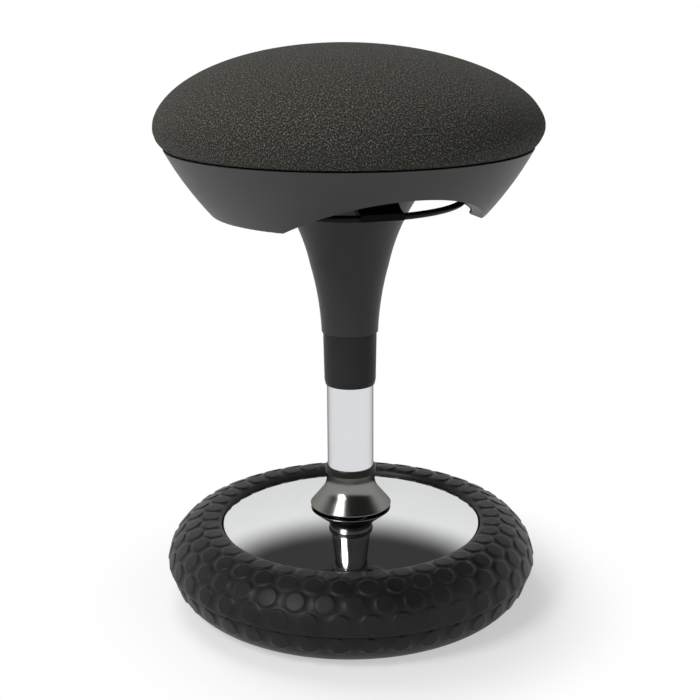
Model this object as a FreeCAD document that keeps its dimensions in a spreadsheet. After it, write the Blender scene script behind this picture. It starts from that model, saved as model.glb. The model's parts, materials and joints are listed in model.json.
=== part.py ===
import FreeCAD, Part
import math
import os
import re
import Sketcher

# A wobble stool: a domed seat on a gas column, a chrome dome, and an air-filled rubber ring.
# Origin: the middle of the floor under the column. +Z is up, -Y is the front of the seat.
# Sizes are in millimetres.

os.makedirs("parts", exist_ok=True)
doc = FreeCAD.newDocument("wobble_stool")
sheet = doc.addObject("Spreadsheet::Sheet", "Size")

DRIVING_SIZES = {
    # Rubber ring: a round section, cut flat where it stands
    "ring_rad": 155,
    "ring_sec": 46.5,
    "lower_sec": 42,
    "air_rad": 35,
    "ring_mid": 41,
    "air_floor": 9,
    "ledge_rad": 142.5,
    "ledge_top": 77.5,
    "lip_rad": 103,
    "lip_thick": 6,
    "valve_height": 28,
    "valve_rad": 4,
    # Chrome dome and bell cap
    "dome_rad": 140.4,
    "dome_rim": 82,
    "dome_top": 101,
    "dome_skin": 2,
    "dome_hole": 33,
    "bell_rad": 43.9,
    "bell_foot": 101.6,
    "bell_neck": 132,
    "bell_skin": 1.2,
    # Base plate, clamp and ballast
    "plate_floor": 53,
    "plate_skin": 3,
    "flange_rad": 138.2,
    "clamp_rad": 116,
    "clamp_circle": 109,
    "clamp_count": 8,
    "clamp_hole_rad": 2.6,
    "clamp_screw_rad": 2.5,
    "ballast_rad": 90,
    "ballast_height": 18,
    "ballast_circle": 60,
    "ballast_count": 4,
    "ballast_screw_rad": 3,
    "socket_rad": 32,
    # Column
    "tube_rad": 25,
    "tube_wall": 1.8,
    "tube_foot": 44,
    "tube_taper_end": 86,
    "tube_foot_rad": 24,
    "tube_floor": 4,
    "tube_top": 290,
    "bush_depth": 40,
    "collar_foot": 139,
    "collar_height": 7,
    # Swivel bearing in the tube's foot
    "race_rad": 17,
    "race_thick": 2.5,
    "ball_rad": 1.95,
    "ball_gap": 4,
    "ball_circle": 12.75,
    "ball_count": 8,
    # Gas spring
    "rod_rad": 5,
    "rod_end_rad": 4,
    "rod_foot": 40,
    "rod_top": 212,
    "piston_foot": 198,
    "piston_height": 11,
    "cylinder_rad": 14,
    "cylinder_bore": 12.2,
    "cylinder_foot": 185,
    "cylinder_top": 453,
    "cylinder_top_rad": 13.3,
    "guide_height": 12,
    "pin_rad": 3,
    "pin_top": 460.2,
    "run_gap": 0.08,
    # Seat carrier
    "hub_foot": 425,
    "hub_rad": 19,
    "well_floor": 449.5,
    "well_rad": 53,
    "carrier_skin": 2.5,
    "carrier_cone_rad": 67,
    "carrier_rad": 88,
    "carrier_circle": 77,
    "carrier_count": 3,
    "carrier_screw_rad": 3,
    "nut_barrel_rad": 4,
    "nut_flange_rad": 9.5,
    "nut_flange_thick": 1.5,
    "board_foot": 474,
    "board_thick": 18.5,
    "board_rad": 170,
    # Release ring and its three-armed spider
    "lever_rad": 117,
    "lever_wire": 3.4,
    "lever_mid": 438,
    "spider_foot": 460.3,
    "spider_thick": 4,
    "spider_disc": 36,
    "arm_width": 43,
    "arm_room": 9.5,
    "arm_count": 3,
    "arm_turn": 5.6,
    # Sleeve and trumpet cover
    "sleeve_foot": 239,
    "sleeve_top": 345,
    "sleeve_rad": 28.4,
    "sleeve_bore": 26.9,
    "trumpet_foot": 297,
    "trumpet_foot_rad": 30,
    "trumpet_waist": 369,
    "trumpet_waist_rad": 41.2,
    "trumpet_top": 446,
    "trumpet_top_rad": 74.4,
    "trumpet_wall": 1.4,
    "trumpet_low_bend": 315,
    "trumpet_high_bend": 209,
    # Under-seat shell with its arch from front to back
    "shell_foot": 426,
    "shell_top": 492.3,
    "shell_foot_rad": 140.5,
    "shell_top_rad": 188.5,
    "shell_wall": 3,
    "shell_bend": 340,
    "shell_corner": 4,
    "shell_ledge": 125,
    "arch_mid": 405,
    "arch_half": 112.3,
    "arch_rise": 57.3,
    "arch_return": 15,
    "boss_across": 118,
    "boss_along": 58,
    "boss_rad": 5.5,
    # Cushion: drawn in at the seam, widest above it, with the crown set back from the middle
    "seat_rad": 200.5,
    "seat_wide": 509,
    "seat_top": 595,
    "seam_rad": 187,
    "crown_shift": 20,
    "cover_thick": 1.5,
}

for row, (alias, size) in enumerate(DRIVING_SIZES.items(), start=1):
    sheet.set(f"A{row}", alias)
    sheet.set(f"B{row}", str(size))
    sheet.setAlias(f"B{row}", alias)
doc.recompute()

UP = FreeCAD.Vector(0, 0, 1)


def bound(text):
    """An expression on the sheet, from plain names such as tube_rad - tube_wall."""
    return re.sub(r"\b(?!sqrt\b)[a-z]\w*", r"Size.\g<0>", str(text))


def value(text):
    """The number that such an expression has now."""
    result = sheet.evalExpression(bound(text))
    return float(getattr(result, "Value", result))


def hold(sketch, kind, corner, text):
    """Tie one coordinate of a sketch point to the sheet."""
    geometry, end = corner
    if abs(value(text)) < 1e-9:
        axis = -2 if kind == "DistanceX" else -1
        sketch.addConstraint(Sketcher.Constraint("PointOnObject", geometry, end, axis))
        return
    index = sketch.addConstraint(Sketcher.Constraint(kind, -1, 1, geometry, end, value(text)))
    sketch.setExpression(f"Constraints[{index}]", bound(text))


def round_stretch(start, end, bend):
    """An arc from start to end; a positive bend turns left on the way, a negative one right."""
    chord = end.sub(start)
    radius = abs(bend)
    reach = math.sqrt(max(radius * radius - chord.Length * chord.Length / 4, 0))
    left = FreeCAD.Vector(-chord.y, chord.x, 0).normalize()
    centre = (start + end) * 0.5 + left * math.copysign(reach, bend)
    first, last = (start, end) if bend > 0 else (end, start)
    circle = Part.Circle(centre, UP, radius)
    return Part.ArcOfCircle(circle, circle.parameter(first), circle.parameter(last))


def draw(sketch, outline):
    """A closed outline: corners (across, up), or (across, up, bend) where an arc leaves the corner."""
    count = len(outline)
    corners = [FreeCAD.Vector(value(item[0]), value(item[1]), 0) for item in outline]
    ends = []
    for index, item in enumerate(outline):
        start = corners[index]
        end = corners[(index + 1) % count]
        if len(item) == 2:
            geometry = sketch.addGeometry(Part.LineSegment(start, end), False)
            ends.append(((geometry, 1), (geometry, 2)))
            continue
        bend = value(item[2])
        geometry = sketch.addGeometry(round_stretch(start, end, bend), False)
        ends.append(((geometry, 1), (geometry, 2)) if bend > 0 else ((geometry, 2), (geometry, 1)))
    for index in range(count):
        here = ends[index][1]
        there = ends[(index + 1) % count][0]
        sketch.addConstraint(Sketcher.Constraint("Coincident", *here, *there))
    for index, item in enumerate(outline):
        hold(sketch, "DistanceX", ends[index][0], item[0])
        hold(sketch, "DistanceY", ends[index][0], item[1])
        if len(item) == 3:
            geometry = ends[index][0][0]
            radius = abs(value(item[2]))
            place = sketch.addConstraint(Sketcher.Constraint("Radius", geometry, radius))
            sign = "" if value(item[2]) > 0 else "-1 * "
            sketch.setExpression(f"Constraints[{place}]", f"{sign}({bound(item[2])})")


def plane_sketch(body, role, name, height=None):
    """A sketch on one of the body's own planes, lifted to a height on the horizontal plane."""
    sketch = body.newObject("Sketcher::SketchObject", name)
    plane = next(item for item in body.Origin.OriginFeatures if item.Role == role)
    sketch.AttachmentSupport = [(plane, "")]
    sketch.MapMode = "FlatFace"
    if height is not None:
        sketch.setExpression(".AttachmentOffset.Base.z", bound(height))
    return sketch


def turned(label, outline, angle=360):
    """A body turned about the column's axis."""
    body = doc.addObject("PartDesign::Body", label)
    body.Label = label
    sketch = plane_sketch(body, "XZ_Plane", label + "_outline")
    draw(sketch, outline)
    turn = body.newObject("PartDesign::Revolution", label + "_turn")
    turn.Profile = sketch
    turn.ReferenceAxis = (sketch, ["V_Axis"])
    turn.Angle = angle
    sketch.Visibility = False
    doc.recompute()
    return body


def washer(label, bore, rim, foot, top):
    """A plain turned ring or disc."""
    return turned(label, [(bore, foot), (rim, foot), (rim, top), (bore, top)])


def circle_sketch(body, name, height, circles):
    """Circles (across, along, radius) on a horizontal plane."""
    sketch = plane_sketch(body, "XY_Plane", name, height)
    for across, along, radius in circles:
        centre = FreeCAD.Vector(value(across), value(along), 0)
        geometry = sketch.addGeometry(Part.Circle(centre, UP, value(radius)), False)
        hold(sketch, "DistanceX", (geometry, 3), across)
        hold(sketch, "DistanceY", (geometry, 3), along)
        index = sketch.addConstraint(Sketcher.Constraint("Radius", geometry, value(radius)))
        sketch.setExpression(f"Constraints[{index}]", bound(radius))
    return sketch


def cut_up(body, sketch, depth):
    """Cut the sketch's shape upwards from its plane."""
    before = body.Shape.Volume
    pocket = body.newObject("PartDesign::Pocket", sketch.Name + "_cut")
    pocket.Profile = sketch
    pocket.Reversed = True
    pocket.setExpression("Length", bound(depth))
    doc.recompute()
    if not body.Shape.Volume < before:
        raise ValueError(f"{sketch.Name} cuts nothing")
    return pocket


def around(body, feature, count):
    """Repeat a feature around the column's axis."""
    pattern = body.newObject("PartDesign::PolarPattern", feature.Name + "_pattern")
    axis = next(item for item in body.Origin.OriginFeatures if item.Role == "Z_Axis")
    pattern.Originals = [feature]
    pattern.Axis = (axis, [""])
    pattern.Angle = 360
    pattern.setExpression("Occurrences", bound(count))
    body.Tip = pattern
    doc.recompute()
    return pattern


def hole_circle(body, name, circle, radius, count, foot, depth):
    """Round holes on a circle about the column."""
    sketch = circle_sketch(body, name, foot, [(circle, "0", radius)])
    around(body, cut_up(body, sketch, depth), count)


def group(label, shapes):
    """Separate solids that share one node."""
    feature = doc.addObject("Part::Feature", label)
    feature.Label = label
    feature.Shape = Part.makeCompound(shapes)
    feature.Placement = FreeCAD.Placement()
    return feature


def spots(circle, count):
    """Places on a circle about the column, the first on +X."""
    steps = round(value(count))
    turns = [2 * math.pi * step / steps for step in range(steps)]
    reach = value(circle)
    return [FreeCAD.Vector(reach * math.cos(turn), reach * math.sin(turn), 0) for turn in turns]


def stud(place, stretches):
    """A fastener of stacked round stretches (radius, foot, top), joined into one solid."""
    solids = []
    for radius, foot, top in stretches:
        base = place + UP * value(foot)
        solids.append(Part.makeCylinder(value(radius), value(top) - value(foot), base, UP))
    if len(solids) == 1:
        return solids[0]
    return solids[0].multiFuse(solids[1:]).removeSplitter()


# Floor ring

def ring_lower_half():
    foot_half = "sqrt(lower_sec * lower_sec - ring_mid * ring_mid)"
    air_half = "sqrt(air_rad * air_rad - (ring_mid - air_floor) * (ring_mid - air_floor))"
    body = turned("ring_lower_half", [
        ("ring_rad + lower_sec", "ring_mid", "-lower_sec"),
        (f"ring_rad + {foot_half}", "0"),
        (f"ring_rad - {foot_half}", "0", "-lower_sec"),
        ("ring_rad - lower_sec", "ring_mid"),
        ("ring_rad - air_rad", "ring_mid", "air_rad"),
        (f"ring_rad - {air_half}", "air_floor"),
        (f"ring_rad + {air_half}", "air_floor", "air_rad"),
        ("ring_rad + air_rad", "ring_mid"),
    ])
    sketch = plane_sketch(body, "YZ_Plane", "valve_hole")
    centre = FreeCAD.Vector(0, value("valve_height"), 0)
    geometry = sketch.addGeometry(Part.Circle(centre, UP, value("valve_rad")), False)
    hold(sketch, "DistanceX", (geometry, 3), "0")
    hold(sketch, "DistanceY", (geometry, 3), "valve_height")
    index = sketch.addConstraint(Sketcher.Constraint("Radius", geometry, value("valve_rad")))
    sketch.setExpression(f"Constraints[{index}]", "Size.valve_rad")
    before = body.Shape.Volume
    pocket = body.newObject("PartDesign::Pocket", "valve_hole_cut")
    pocket.Profile = sketch
    pocket.setExpression("Length", bound("ring_rad - air_rad + 8"))
    doc.recompute()
    if not body.Shape.Volume < before:
        raise ValueError("valve hole cuts nothing")
    return body


def ring_upper_half():
    ledge_wall = "ring_mid + sqrt(ring_sec * ring_sec - (ring_rad - ledge_rad) * (ring_rad - ledge_rad))"
    lip_rise = "(ledge_top - lip_thick - ring_mid)"
    body = turned("ring_upper_half", [
        ("ring_rad + ring_sec", "ring_mid", "ring_sec"),
        ("ledge_rad", ledge_wall),
        ("ledge_rad", "ledge_top"),
        ("lip_rad", "ledge_top"),
        ("lip_rad", "ledge_top - lip_thick"),
        (f"ring_rad - sqrt(ring_sec * ring_sec - {lip_rise} * {lip_rise})",
         "ledge_top - lip_thick", "ring_sec"),
        ("ring_rad - ring_sec", "ring_mid"),
        ("ring_rad - air_rad", "ring_mid", "-air_rad"),
        ("ring_rad", "ring_mid + air_rad", "-air_rad"),
        ("ring_rad + air_rad", "ring_mid"),
    ])
    lip_foot = "ledge_top - lip_thick"
    clamp_holes(body, "lip_holes", lip_foot, "lip_thick")
    return body


def clamp_holes(body, name, foot, thick):
    """The clamp screws' way through a layer that starts at foot."""
    hole_circle(body, name, "clamp_circle", "clamp_hole_rad", "clamp_count", f"{foot} - 1", f"{thick} + 2")


def valve_piece(label, radius, inner, outer):
    """A round piece lying along X in the ring's inner wall, on the -X side."""
    piece = doc.addObject("Part::Cylinder", label)
    piece.Label = label
    piece.setExpression("Radius", bound(radius))
    piece.setExpression("Height", bound(f"({outer}) - ({inner})"))
    piece.Placement = FreeCAD.Placement(FreeCAD.Vector(), FreeCAD.Rotation(FreeCAD.Vector(0, 1, 0), -90))
    piece.setExpression(".Placement.Base.x", bound(f"-1 * ({inner})"))
    piece.setExpression(".Placement.Base.z", bound("valve_height"))
    return piece


# Base

def dome_height(across, drop):
    """Height of the dome's skin at a distance from the column, drop below its outer face."""
    rise = "(dome_top - dome_rim)"
    sphere = f"((dome_rad * dome_rad + {rise} * {rise}) / (2 * {rise}))"
    outer = f"dome_top - {sphere} + sqrt(({sphere} - {drop}) * ({sphere} - {drop}) - {across} * {across})"
    return outer, f"{sphere} - {drop}"


def chrome_dome():
    lip = "1.2"
    edge = "(dome_rad - 0.8)"
    inner_edge = "(dome_rad - dome_skin)"
    top_out, sphere_out = dome_height("dome_hole", "0")
    edge_out, _ = dome_height(edge, "0")
    top_in, sphere_in = dome_height("dome_hole", "dome_skin")
    edge_in, _ = dome_height(inner_edge, "dome_skin")
    return turned("chrome_dome", [
        ("dome_hole", top_in),
        ("dome_hole", top_out, f"-1 * ({sphere_out})"),
        (edge, edge_out, f"-1 * {lip}"),
        ("dome_rad", "dome_rim - 0.8"),
        ("dome_rad", "ledge_top"),
        (inner_edge, "ledge_top"),
        (inner_edge, edge_in, sphere_in),
    ])


def base_plate():
    body = turned("base_plate", [
        ("socket_rad", "plate_floor"),
        ("ballast_rad + plate_skin", "plate_floor"),
        ("lip_rad - 1", "ledge_top"),
        ("flange_rad", "ledge_top"),
        ("flange_rad", "ledge_top + plate_skin"),
        ("lip_rad - plate_skin", "ledge_top + plate_skin"),
        ("ballast_rad + 1", "plate_floor + plate_skin"),
        ("socket_rad", "plate_floor + plate_skin"),
    ])
    clamp_holes(body, "plate_clamp_holes", "ledge_top", "plate_skin")
    hole_circle(body, "plate_ballast_holes", "ballast_circle", "ballast_screw_rad", "ballast_count",
                "plate_floor - 1", "plate_skin + 2")
    return body


def bead_clamp_ring():
    top = "ledge_top - lip_thick"
    body = washer("bead_clamp_ring", "lip_rad", "clamp_rad", f"{top} - plate_skin", top)
    clamp_holes(body, "clamp_ring_holes", f"{top} - plate_skin", "plate_skin")
    return body


def clamp_screws():
    clamp_foot = "ledge_top - lip_thick - plate_skin"
    flange_top = "ledge_top + plate_skin"
    stretches = [
        ("clamp_screw_rad", f"{clamp_foot} - 5", flange_top),
        ("5", flange_top, f"{flange_top} + 3.5"),
        ("4.5", f"{clamp_foot} - 4", clamp_foot),
    ]
    places = spots("clamp_circle", "clamp_count")
    return group("clamp_screws", [stud(place, stretches) for place in places])


def ballast_weight():
    foot = "plate_floor + plate_skin"
    body = washer("ballast_weight", "socket_rad + 4", "ballast_rad", foot, f"{foot} + ballast_height")
    hole_circle(body, "ballast_holes", "ballast_circle", "ballast_screw_rad", "ballast_count",
                f"{foot} - 1", "ballast_height - 2")
    return body


def ballast_screws():
    stretches = [
        ("5.5", "plate_floor - 4", "plate_floor"),
        ("ballast_screw_rad", "plate_floor", "plate_floor + ballast_height - 2"),
    ]
    places = spots("ballast_circle", "ballast_count")
    return group("ballast_screws", [stud(place, stretches) for place in places])


def column_socket():
    return turned("column_socket", [
        ("tube_foot_rad", "tube_foot"),
        ("socket_rad", "tube_foot"),
        ("socket_rad", "tube_taper_end"),
        ("tube_rad", "tube_taper_end"),
    ])


def stand_tube():
    floor = "tube_foot + tube_floor"
    return turned("stand_tube", [
        ("rod_rad + 0.2", "tube_foot"),
        ("tube_foot_rad", "tube_foot"),
        ("tube_rad", "tube_taper_end"),
        ("tube_rad", "tube_top"),
        ("tube_rad - tube_wall", "tube_top"),
        ("tube_rad - tube_wall", "tube_taper_end"),
        ("tube_foot_rad - tube_wall", floor),
        ("rod_rad + 0.2", floor),
    ])


def guide_bush():
    bore = "cylinder_rad + run_gap"
    return turned("guide_bush", [
        (bore, "tube_top - bush_depth"),
        ("tube_rad - tube_wall", "tube_top - bush_depth"),
        ("tube_rad - tube_wall", "tube_top"),
        ("tube_rad", "tube_top"),
        ("tube_rad", "tube_top + 3"),
        (bore, "tube_top + 3"),
    ])


def bell_cap():
    neck = "tube_rad + bell_skin"
    return turned("bell_cap", [
        ("tube_rad", "collar_foot"),
        ("tube_rad", "bell_neck", "25.6"),
        ("tube_rad + 5.3", "bell_neck - 15.6"),
        ("bell_rad - 1.5 * bell_skin", "bell_foot"),
        ("bell_rad", "bell_foot"),
        ("bell_rad", "bell_foot + 0.8"),
        ("tube_rad + 6.7", "bell_neck - 14.8", "-22.7"),
        (neck, "bell_neck"),
        (neck, "collar_foot"),
    ])


def collar_ring():
    top = "collar_foot + collar_height"
    return turned("collar_ring", [
        ("tube_rad", "collar_foot"),
        ("tube_rad + 2.5", "collar_foot"),
        ("tube_rad + 2.5", f"{top} - 1.5", "1.5"),
        ("tube_rad + 1", top),
        ("tube_rad", top),
    ])


def ball_cage():
    middle = "tube_foot + tube_floor + race_thick + ball_gap / 2"
    body = washer("ball_cage", "9.5", "16", f"{middle} - 1", f"{middle} + 1")
    hole_circle(body, "cage_holes", "ball_circle", "ball_rad + 0.15", "ball_count", f"{middle} - 2", "4")
    return body


def bearing_balls():
    middle = UP * value("tube_foot + tube_floor + race_thick + ball_gap / 2")
    places = spots("ball_circle", "ball_count")
    return group("bearing_balls", [Part.makeSphere(value("ball_rad"), place + middle) for place in places])


# Rod

def piston_rod():
    shoulder = "tube_foot + tube_floor + 2 * race_thick + ball_gap"
    return turned("piston_rod", [
        ("0", "rod_foot"),
        ("rod_end_rad", "rod_foot"),
        ("rod_end_rad", "rod_foot + 1.4"),
        ("rod_end_rad - 1", "rod_foot + 1.4"),
        ("rod_end_rad - 1", "rod_foot + 3.4"),
        ("rod_end_rad", "rod_foot + 3.4"),
        ("rod_end_rad", f"{shoulder}"),
        ("rod_rad", f"{shoulder}"),
        ("rod_rad", "rod_top"),
        ("0", "rod_top"),
    ])


def piston():
    rim = "cylinder_bore - run_gap"
    groove = "cylinder_bore - 1.6"
    return turned("piston", [
        ("rod_rad", "piston_foot"),
        (rim, "piston_foot"),
        (rim, "piston_foot + 4"),
        (groove, "piston_foot + 4"),
        (groove, "piston_foot + 7"),
        (rim, "piston_foot + 7"),
        (rim, "piston_foot + piston_height"),
        ("rod_rad", "piston_foot + piston_height"),
    ])


def torus(label, radius, section, height):
    """A round-section ring about the column."""
    ring = doc.addObject("Part::Torus", label)
    ring.Label = label
    ring.setExpression("Radius1", bound(radius))
    ring.setExpression("Radius2", bound(section))
    ring.setExpression(".Placement.Base.z", bound(height))
    return ring


def bump_stop():
    foot = "tube_foot + tube_floor + 2 * race_thick + ball_gap"
    return turned("bump_stop", [
        ("rod_rad", foot),
        ("15", foot),
        ("13", f"{foot} + 9"),
        ("rod_rad", f"{foot} + 9"),
    ])


def retaining_clip():
    return turned("retaining_clip", [
        ("rod_end_rad - 1", "rod_foot + 1.5"),
        ("rod_end_rad + 4", "rod_foot + 1.5"),
        ("rod_end_rad + 4", "rod_foot + 3.3"),
        ("rod_end_rad - 1", "rod_foot + 3.3"),
    ], angle=320)


# Seat

def taper_at(height):
    """Outer radius of the gas cylinder's tapered end at a height."""
    share = f"(({height}) - hub_foot) / (cylinder_top - hub_foot)"
    return f"cylinder_rad - (cylinder_rad - cylinder_top_rad) * {share}"


def gas_cylinder():
    return turned("gas_cylinder", [
        ("cylinder_bore", "cylinder_foot"),
        ("cylinder_rad", "cylinder_foot"),
        ("cylinder_rad", "hub_foot"),
        ("cylinder_top_rad", "cylinder_top"),
        ("cylinder_bore", "cylinder_top"),
    ])


def taper_socket():
    top = "well_floor + carrier_skin"
    return turned("taper_socket", [
        ("cylinder_rad", "hub_foot"),
        ("hub_rad", "hub_foot"),
        ("hub_rad", top),
        (taper_at(top), top),
    ])


def rectangle_sketch(body, name, height, near, far, half_width):
    """A rectangle that reaches out along +X, even about the X axis."""
    sketch = plane_sketch(body, "XY_Plane", name, height)
    low = value(near)
    high = value(far)
    side = value(half_width)
    corners = [(low, -side), (high, -side), (high, side), (low, side)]
    for index, corner in enumerate(corners):
        start = FreeCAD.Vector(*corner, 0)
        end = FreeCAD.Vector(*corners[(index + 1) % 4], 0)
        sketch.addGeometry(Part.LineSegment(start, end), False)
    for index in range(4):
        sketch.addConstraint(Sketcher.Constraint("Coincident", index, 2, (index + 1) % 4, 1))
    sketch.addConstraint(Sketcher.Constraint("Symmetric", 0, 1, 3, 1, -1))
    sketch.addConstraint(Sketcher.Constraint("Symmetric", 0, 2, 2, 1, -1))
    hold(sketch, "DistanceX", (3, 1), near)
    hold(sketch, "DistanceX", (2, 1), far)
    hold(sketch, "DistanceY", (3, 1), half_width)
    hold(sketch, "DistanceY", (2, 1), half_width)
    return sketch


def mounting_plate():
    """Pressed carrier with three windows for the spider's arms and three screw holes."""
    well_top = "well_floor + carrier_skin"
    slope_gap = "(carrier_skin - 1)"
    body = turned("mounting_plate", [
        ("hub_rad", "well_floor"),
        ("well_rad", "well_floor"),
        ("carrier_cone_rad", "board_foot - carrier_skin"),
        ("carrier_rad", "board_foot - carrier_skin"),
        ("carrier_rad", "board_foot"),
        (f"carrier_cone_rad - {slope_gap}", "board_foot"),
        (f"well_rad - {slope_gap}", well_top),
        ("hub_rad", well_top),
    ])
    window_foot = f"{well_top} + 0.2"
    window = rectangle_sketch(body, "arm_window", window_foot,
                              "well_rad - 9", "carrier_cone_rad + 8", "arm_width / 2 + arm_room")
    window_top = "board_foot - 1.3"
    around(body, cut_up(body, window, f"{window_top} - ({window_foot})"), "arm_count")
    holes = circle_sketch(body, "carrier_holes", "board_foot - carrier_skin - 1",
                          [("-1 * carrier_circle", "0", "carrier_screw_rad")])
    around(body, cut_up(body, holes, "carrier_skin + 2"), "carrier_count")
    body.Placement = FreeCAD.Placement(FreeCAD.Vector(), FreeCAD.Rotation(UP, -90))
    return body


def carrier_places():
    """The carrier screws stand between the arms, the first one at the back."""
    turn = FreeCAD.Rotation(UP, 90)
    return [turn.multVec(place) for place in spots("carrier_circle", "carrier_count")]


def plate_screws():
    foot = "board_foot - carrier_skin"
    stretches = [
        ("5.5", f"{foot} - 4", foot),
        ("carrier_screw_rad", foot, "board_foot + board_thick - 2"),
    ]
    return group("plate_screws", [stud(place, stretches) for place in carrier_places()])


def t_nuts():
    top = "board_foot + board_thick"
    flange_foot = f"{top} - nut_flange_thick"
    nuts = []
    for place in carrier_places():
        barrel = ("nut_barrel_rad", "board_foot", flange_foot)
        flange = ("nut_flange_rad", flange_foot, top)
        bore = ("carrier_screw_rad", "board_foot - 1", f"{top} + 1")
        nuts.append(stud(place, [barrel, flange]).cut(stud(place, [bore])))
    return group("t_nuts", nuts)


def seat_board():
    top = "board_foot + board_thick"
    body = washer("seat_board", "0", "board_rad", "board_foot", top)
    barrels = circle_sketch(body, "nut_barrels", "board_foot - 1",
                            [("0", "carrier_circle", "nut_barrel_rad")])
    around(body, cut_up(body, barrels, "board_thick + 2"), "carrier_count")
    flanges = circle_sketch(body, "nut_flanges", f"{top} - nut_flange_thick",
                            [("0", "carrier_circle", "nut_flange_rad")])
    around(body, cut_up(body, flanges, "nut_flange_thick + 1"), "carrier_count")
    pilots = circle_sketch(body, "pilot_holes", "board_foot - 1", boss_circles("2"))
    cut_up(body, pilots, "9")
    return body


def fulcrum_ring():
    """The stop under the board that the tipping disc rocks against."""
    return turned("fulcrum_ring", [
        ("27", "spider_foot + spider_thick + 0.3"),
        ("31", "spider_foot + spider_thick + 0.3"),
        ("31", "board_foot - 2.5"),
        ("42", "board_foot - 2.5"),
        ("42", "board_foot"),
        ("27", "board_foot"),
    ])


def boss_circles(radius):
    """The shell's four screw places, two in each lobe."""
    signs = [(1, 1), (-1, 1), (-1, -1), (1, -1)]
    return [(f"{side} * boss_across", f"{end} * boss_along", radius) for side, end in signs]


def arch_prism(label, growth):
    """The oval tunnel from front to back, grown outwards by a wall."""
    oval = doc.addObject("Part::Ellipse", label + "_oval")
    oval.setExpression("MajorRadius", bound(f"arch_half + {growth}"))
    oval.setExpression("MinorRadius", bound(f"arch_rise + {growth}"))
    oval.Placement = FreeCAD.Placement(FreeCAD.Vector(), FreeCAD.Rotation(FreeCAD.Vector(1, 0, 0), 90))
    oval.setExpression(".Placement.Base.z", bound("arch_mid"))
    prism = doc.addObject("Part::Extrusion", label)
    prism.Base = oval
    prism.DirMode = "Custom"
    prism.Dir = FreeCAD.Vector(0, 1, 0)
    prism.Symmetric = True
    prism.Solid = True
    prism.setExpression("LengthFwd", bound("2.5 * shell_top_rad"))
    return prism


def pair_of(kind, label, base, tool):
    """Two solids joined, cut or shared."""
    feature = doc.addObject(kind, label)
    feature.Label = label
    feature.Base = base
    feature.Tool = tool
    feature.Refine = True
    doc.recompute()
    return feature


def seat_shell():
    """A bowl under the cushion, open in the middle, with an arch cut through from front to back."""
    foot_top = "shell_foot + shell_wall"
    outer_face = [
        ("shell_foot_rad", "shell_foot", "shell_corner"),
        ("shell_foot_rad + 3.6", "shell_foot + 2", "shell_bend"),
        ("shell_top_rad", "shell_top"),
    ]
    bowl = turned("shell_bowl", [
        ("shell_ledge", "shell_foot"),
        *outer_face,
        ("shell_top_rad - shell_wall", "shell_top", "-1 * (shell_bend - shell_wall)"),
        ("shell_foot_rad", foot_top),
        ("shell_ledge", foot_top),
    ])
    bosses = circle_sketch(bowl, "bosses", foot_top, boss_circles("boss_rad"))
    pad = bowl.newObject("PartDesign::Pad", "boss_pad")
    pad.Profile = bosses
    pad.setExpression("Length", bound("board_foot - shell_foot - shell_wall"))
    doc.recompute()
    cut_up(bowl, circle_sketch(bowl, "screw_ways", "shell_foot - 1", boss_circles("2.2")), "60")
    cut_up(bowl, circle_sketch(bowl, "head_ways", "shell_foot - 1", boss_circles("4.2")), "6")
    # The cut edge turns inwards along the arch and closes the end of each lobe
    rim = turned("return_rim", [
        ("shell_foot_rad - arch_return", "shell_foot"),
        *outer_face,
        ("shell_top_rad - arch_return", "shell_top"),
    ])
    tunnel = arch_prism("arch_tunnel", "0")
    jacket = arch_prism("arch_jacket", "shell_wall")
    return_wall = pair_of("Part::Common", "return_wall", rim, jacket)
    lined = pair_of("Part::Fuse", "lined_bowl", bowl, return_wall)
    return pair_of("Part::Cut", "seat_shell", lined, tunnel)


def shell_screws():
    stretches = [
        ("4", "shell_foot + 1.5", "shell_foot + 5"),
        ("2", "shell_foot + 5", "board_foot + 8"),
    ]
    reach = value("boss_across")
    along = value("boss_along")
    places = [FreeCAD.Vector(side * reach, end * along, 0) for side in (1, -1) for end in (1, -1)]
    return group("shell_screws", [stud(place, stretches) for place in places])


def trumpet_cover():
    """The flared cover with an inner web that grips the taper socket."""
    web_top = "trumpet_top - 3"
    web_foot = "trumpet_top - 6"
    return turned("trumpet_cover", [
        ("trumpet_foot_rad - trumpet_wall", "trumpet_foot"),
        ("trumpet_foot_rad", "trumpet_foot", "-trumpet_low_bend"),
        ("trumpet_waist_rad", "trumpet_waist", "-trumpet_high_bend"),
        ("trumpet_top_rad", "trumpet_top"),
        ("trumpet_top_rad - 2 * trumpet_wall", "trumpet_top"),
        ("trumpet_top_rad - 4.5", web_top),
        ("hub_rad + 0.2", web_top),
        ("hub_rad + 0.2", web_foot),
        ("trumpet_top_rad - 6.2", web_foot, "trumpet_high_bend"),
        ("trumpet_waist_rad - 1.2 * trumpet_wall", "trumpet_waist", "trumpet_low_bend"),
    ])


def dome_section(radius, height, shift):
    """A level round section as four quarter arcs, set back along +Y."""
    centre = FreeCAD.Vector(0, shift, height)
    arcs = []
    for quarter in range(4):
        angles = [math.pi / 2 * (quarter + step / 2) for step in range(3)]
        points = [centre + FreeCAD.Vector(radius * math.cos(a), radius * math.sin(a), 0) for a in angles]
        arcs.append(Part.Arc(*points).toShape())
    return Part.Wire(arcs)


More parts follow.
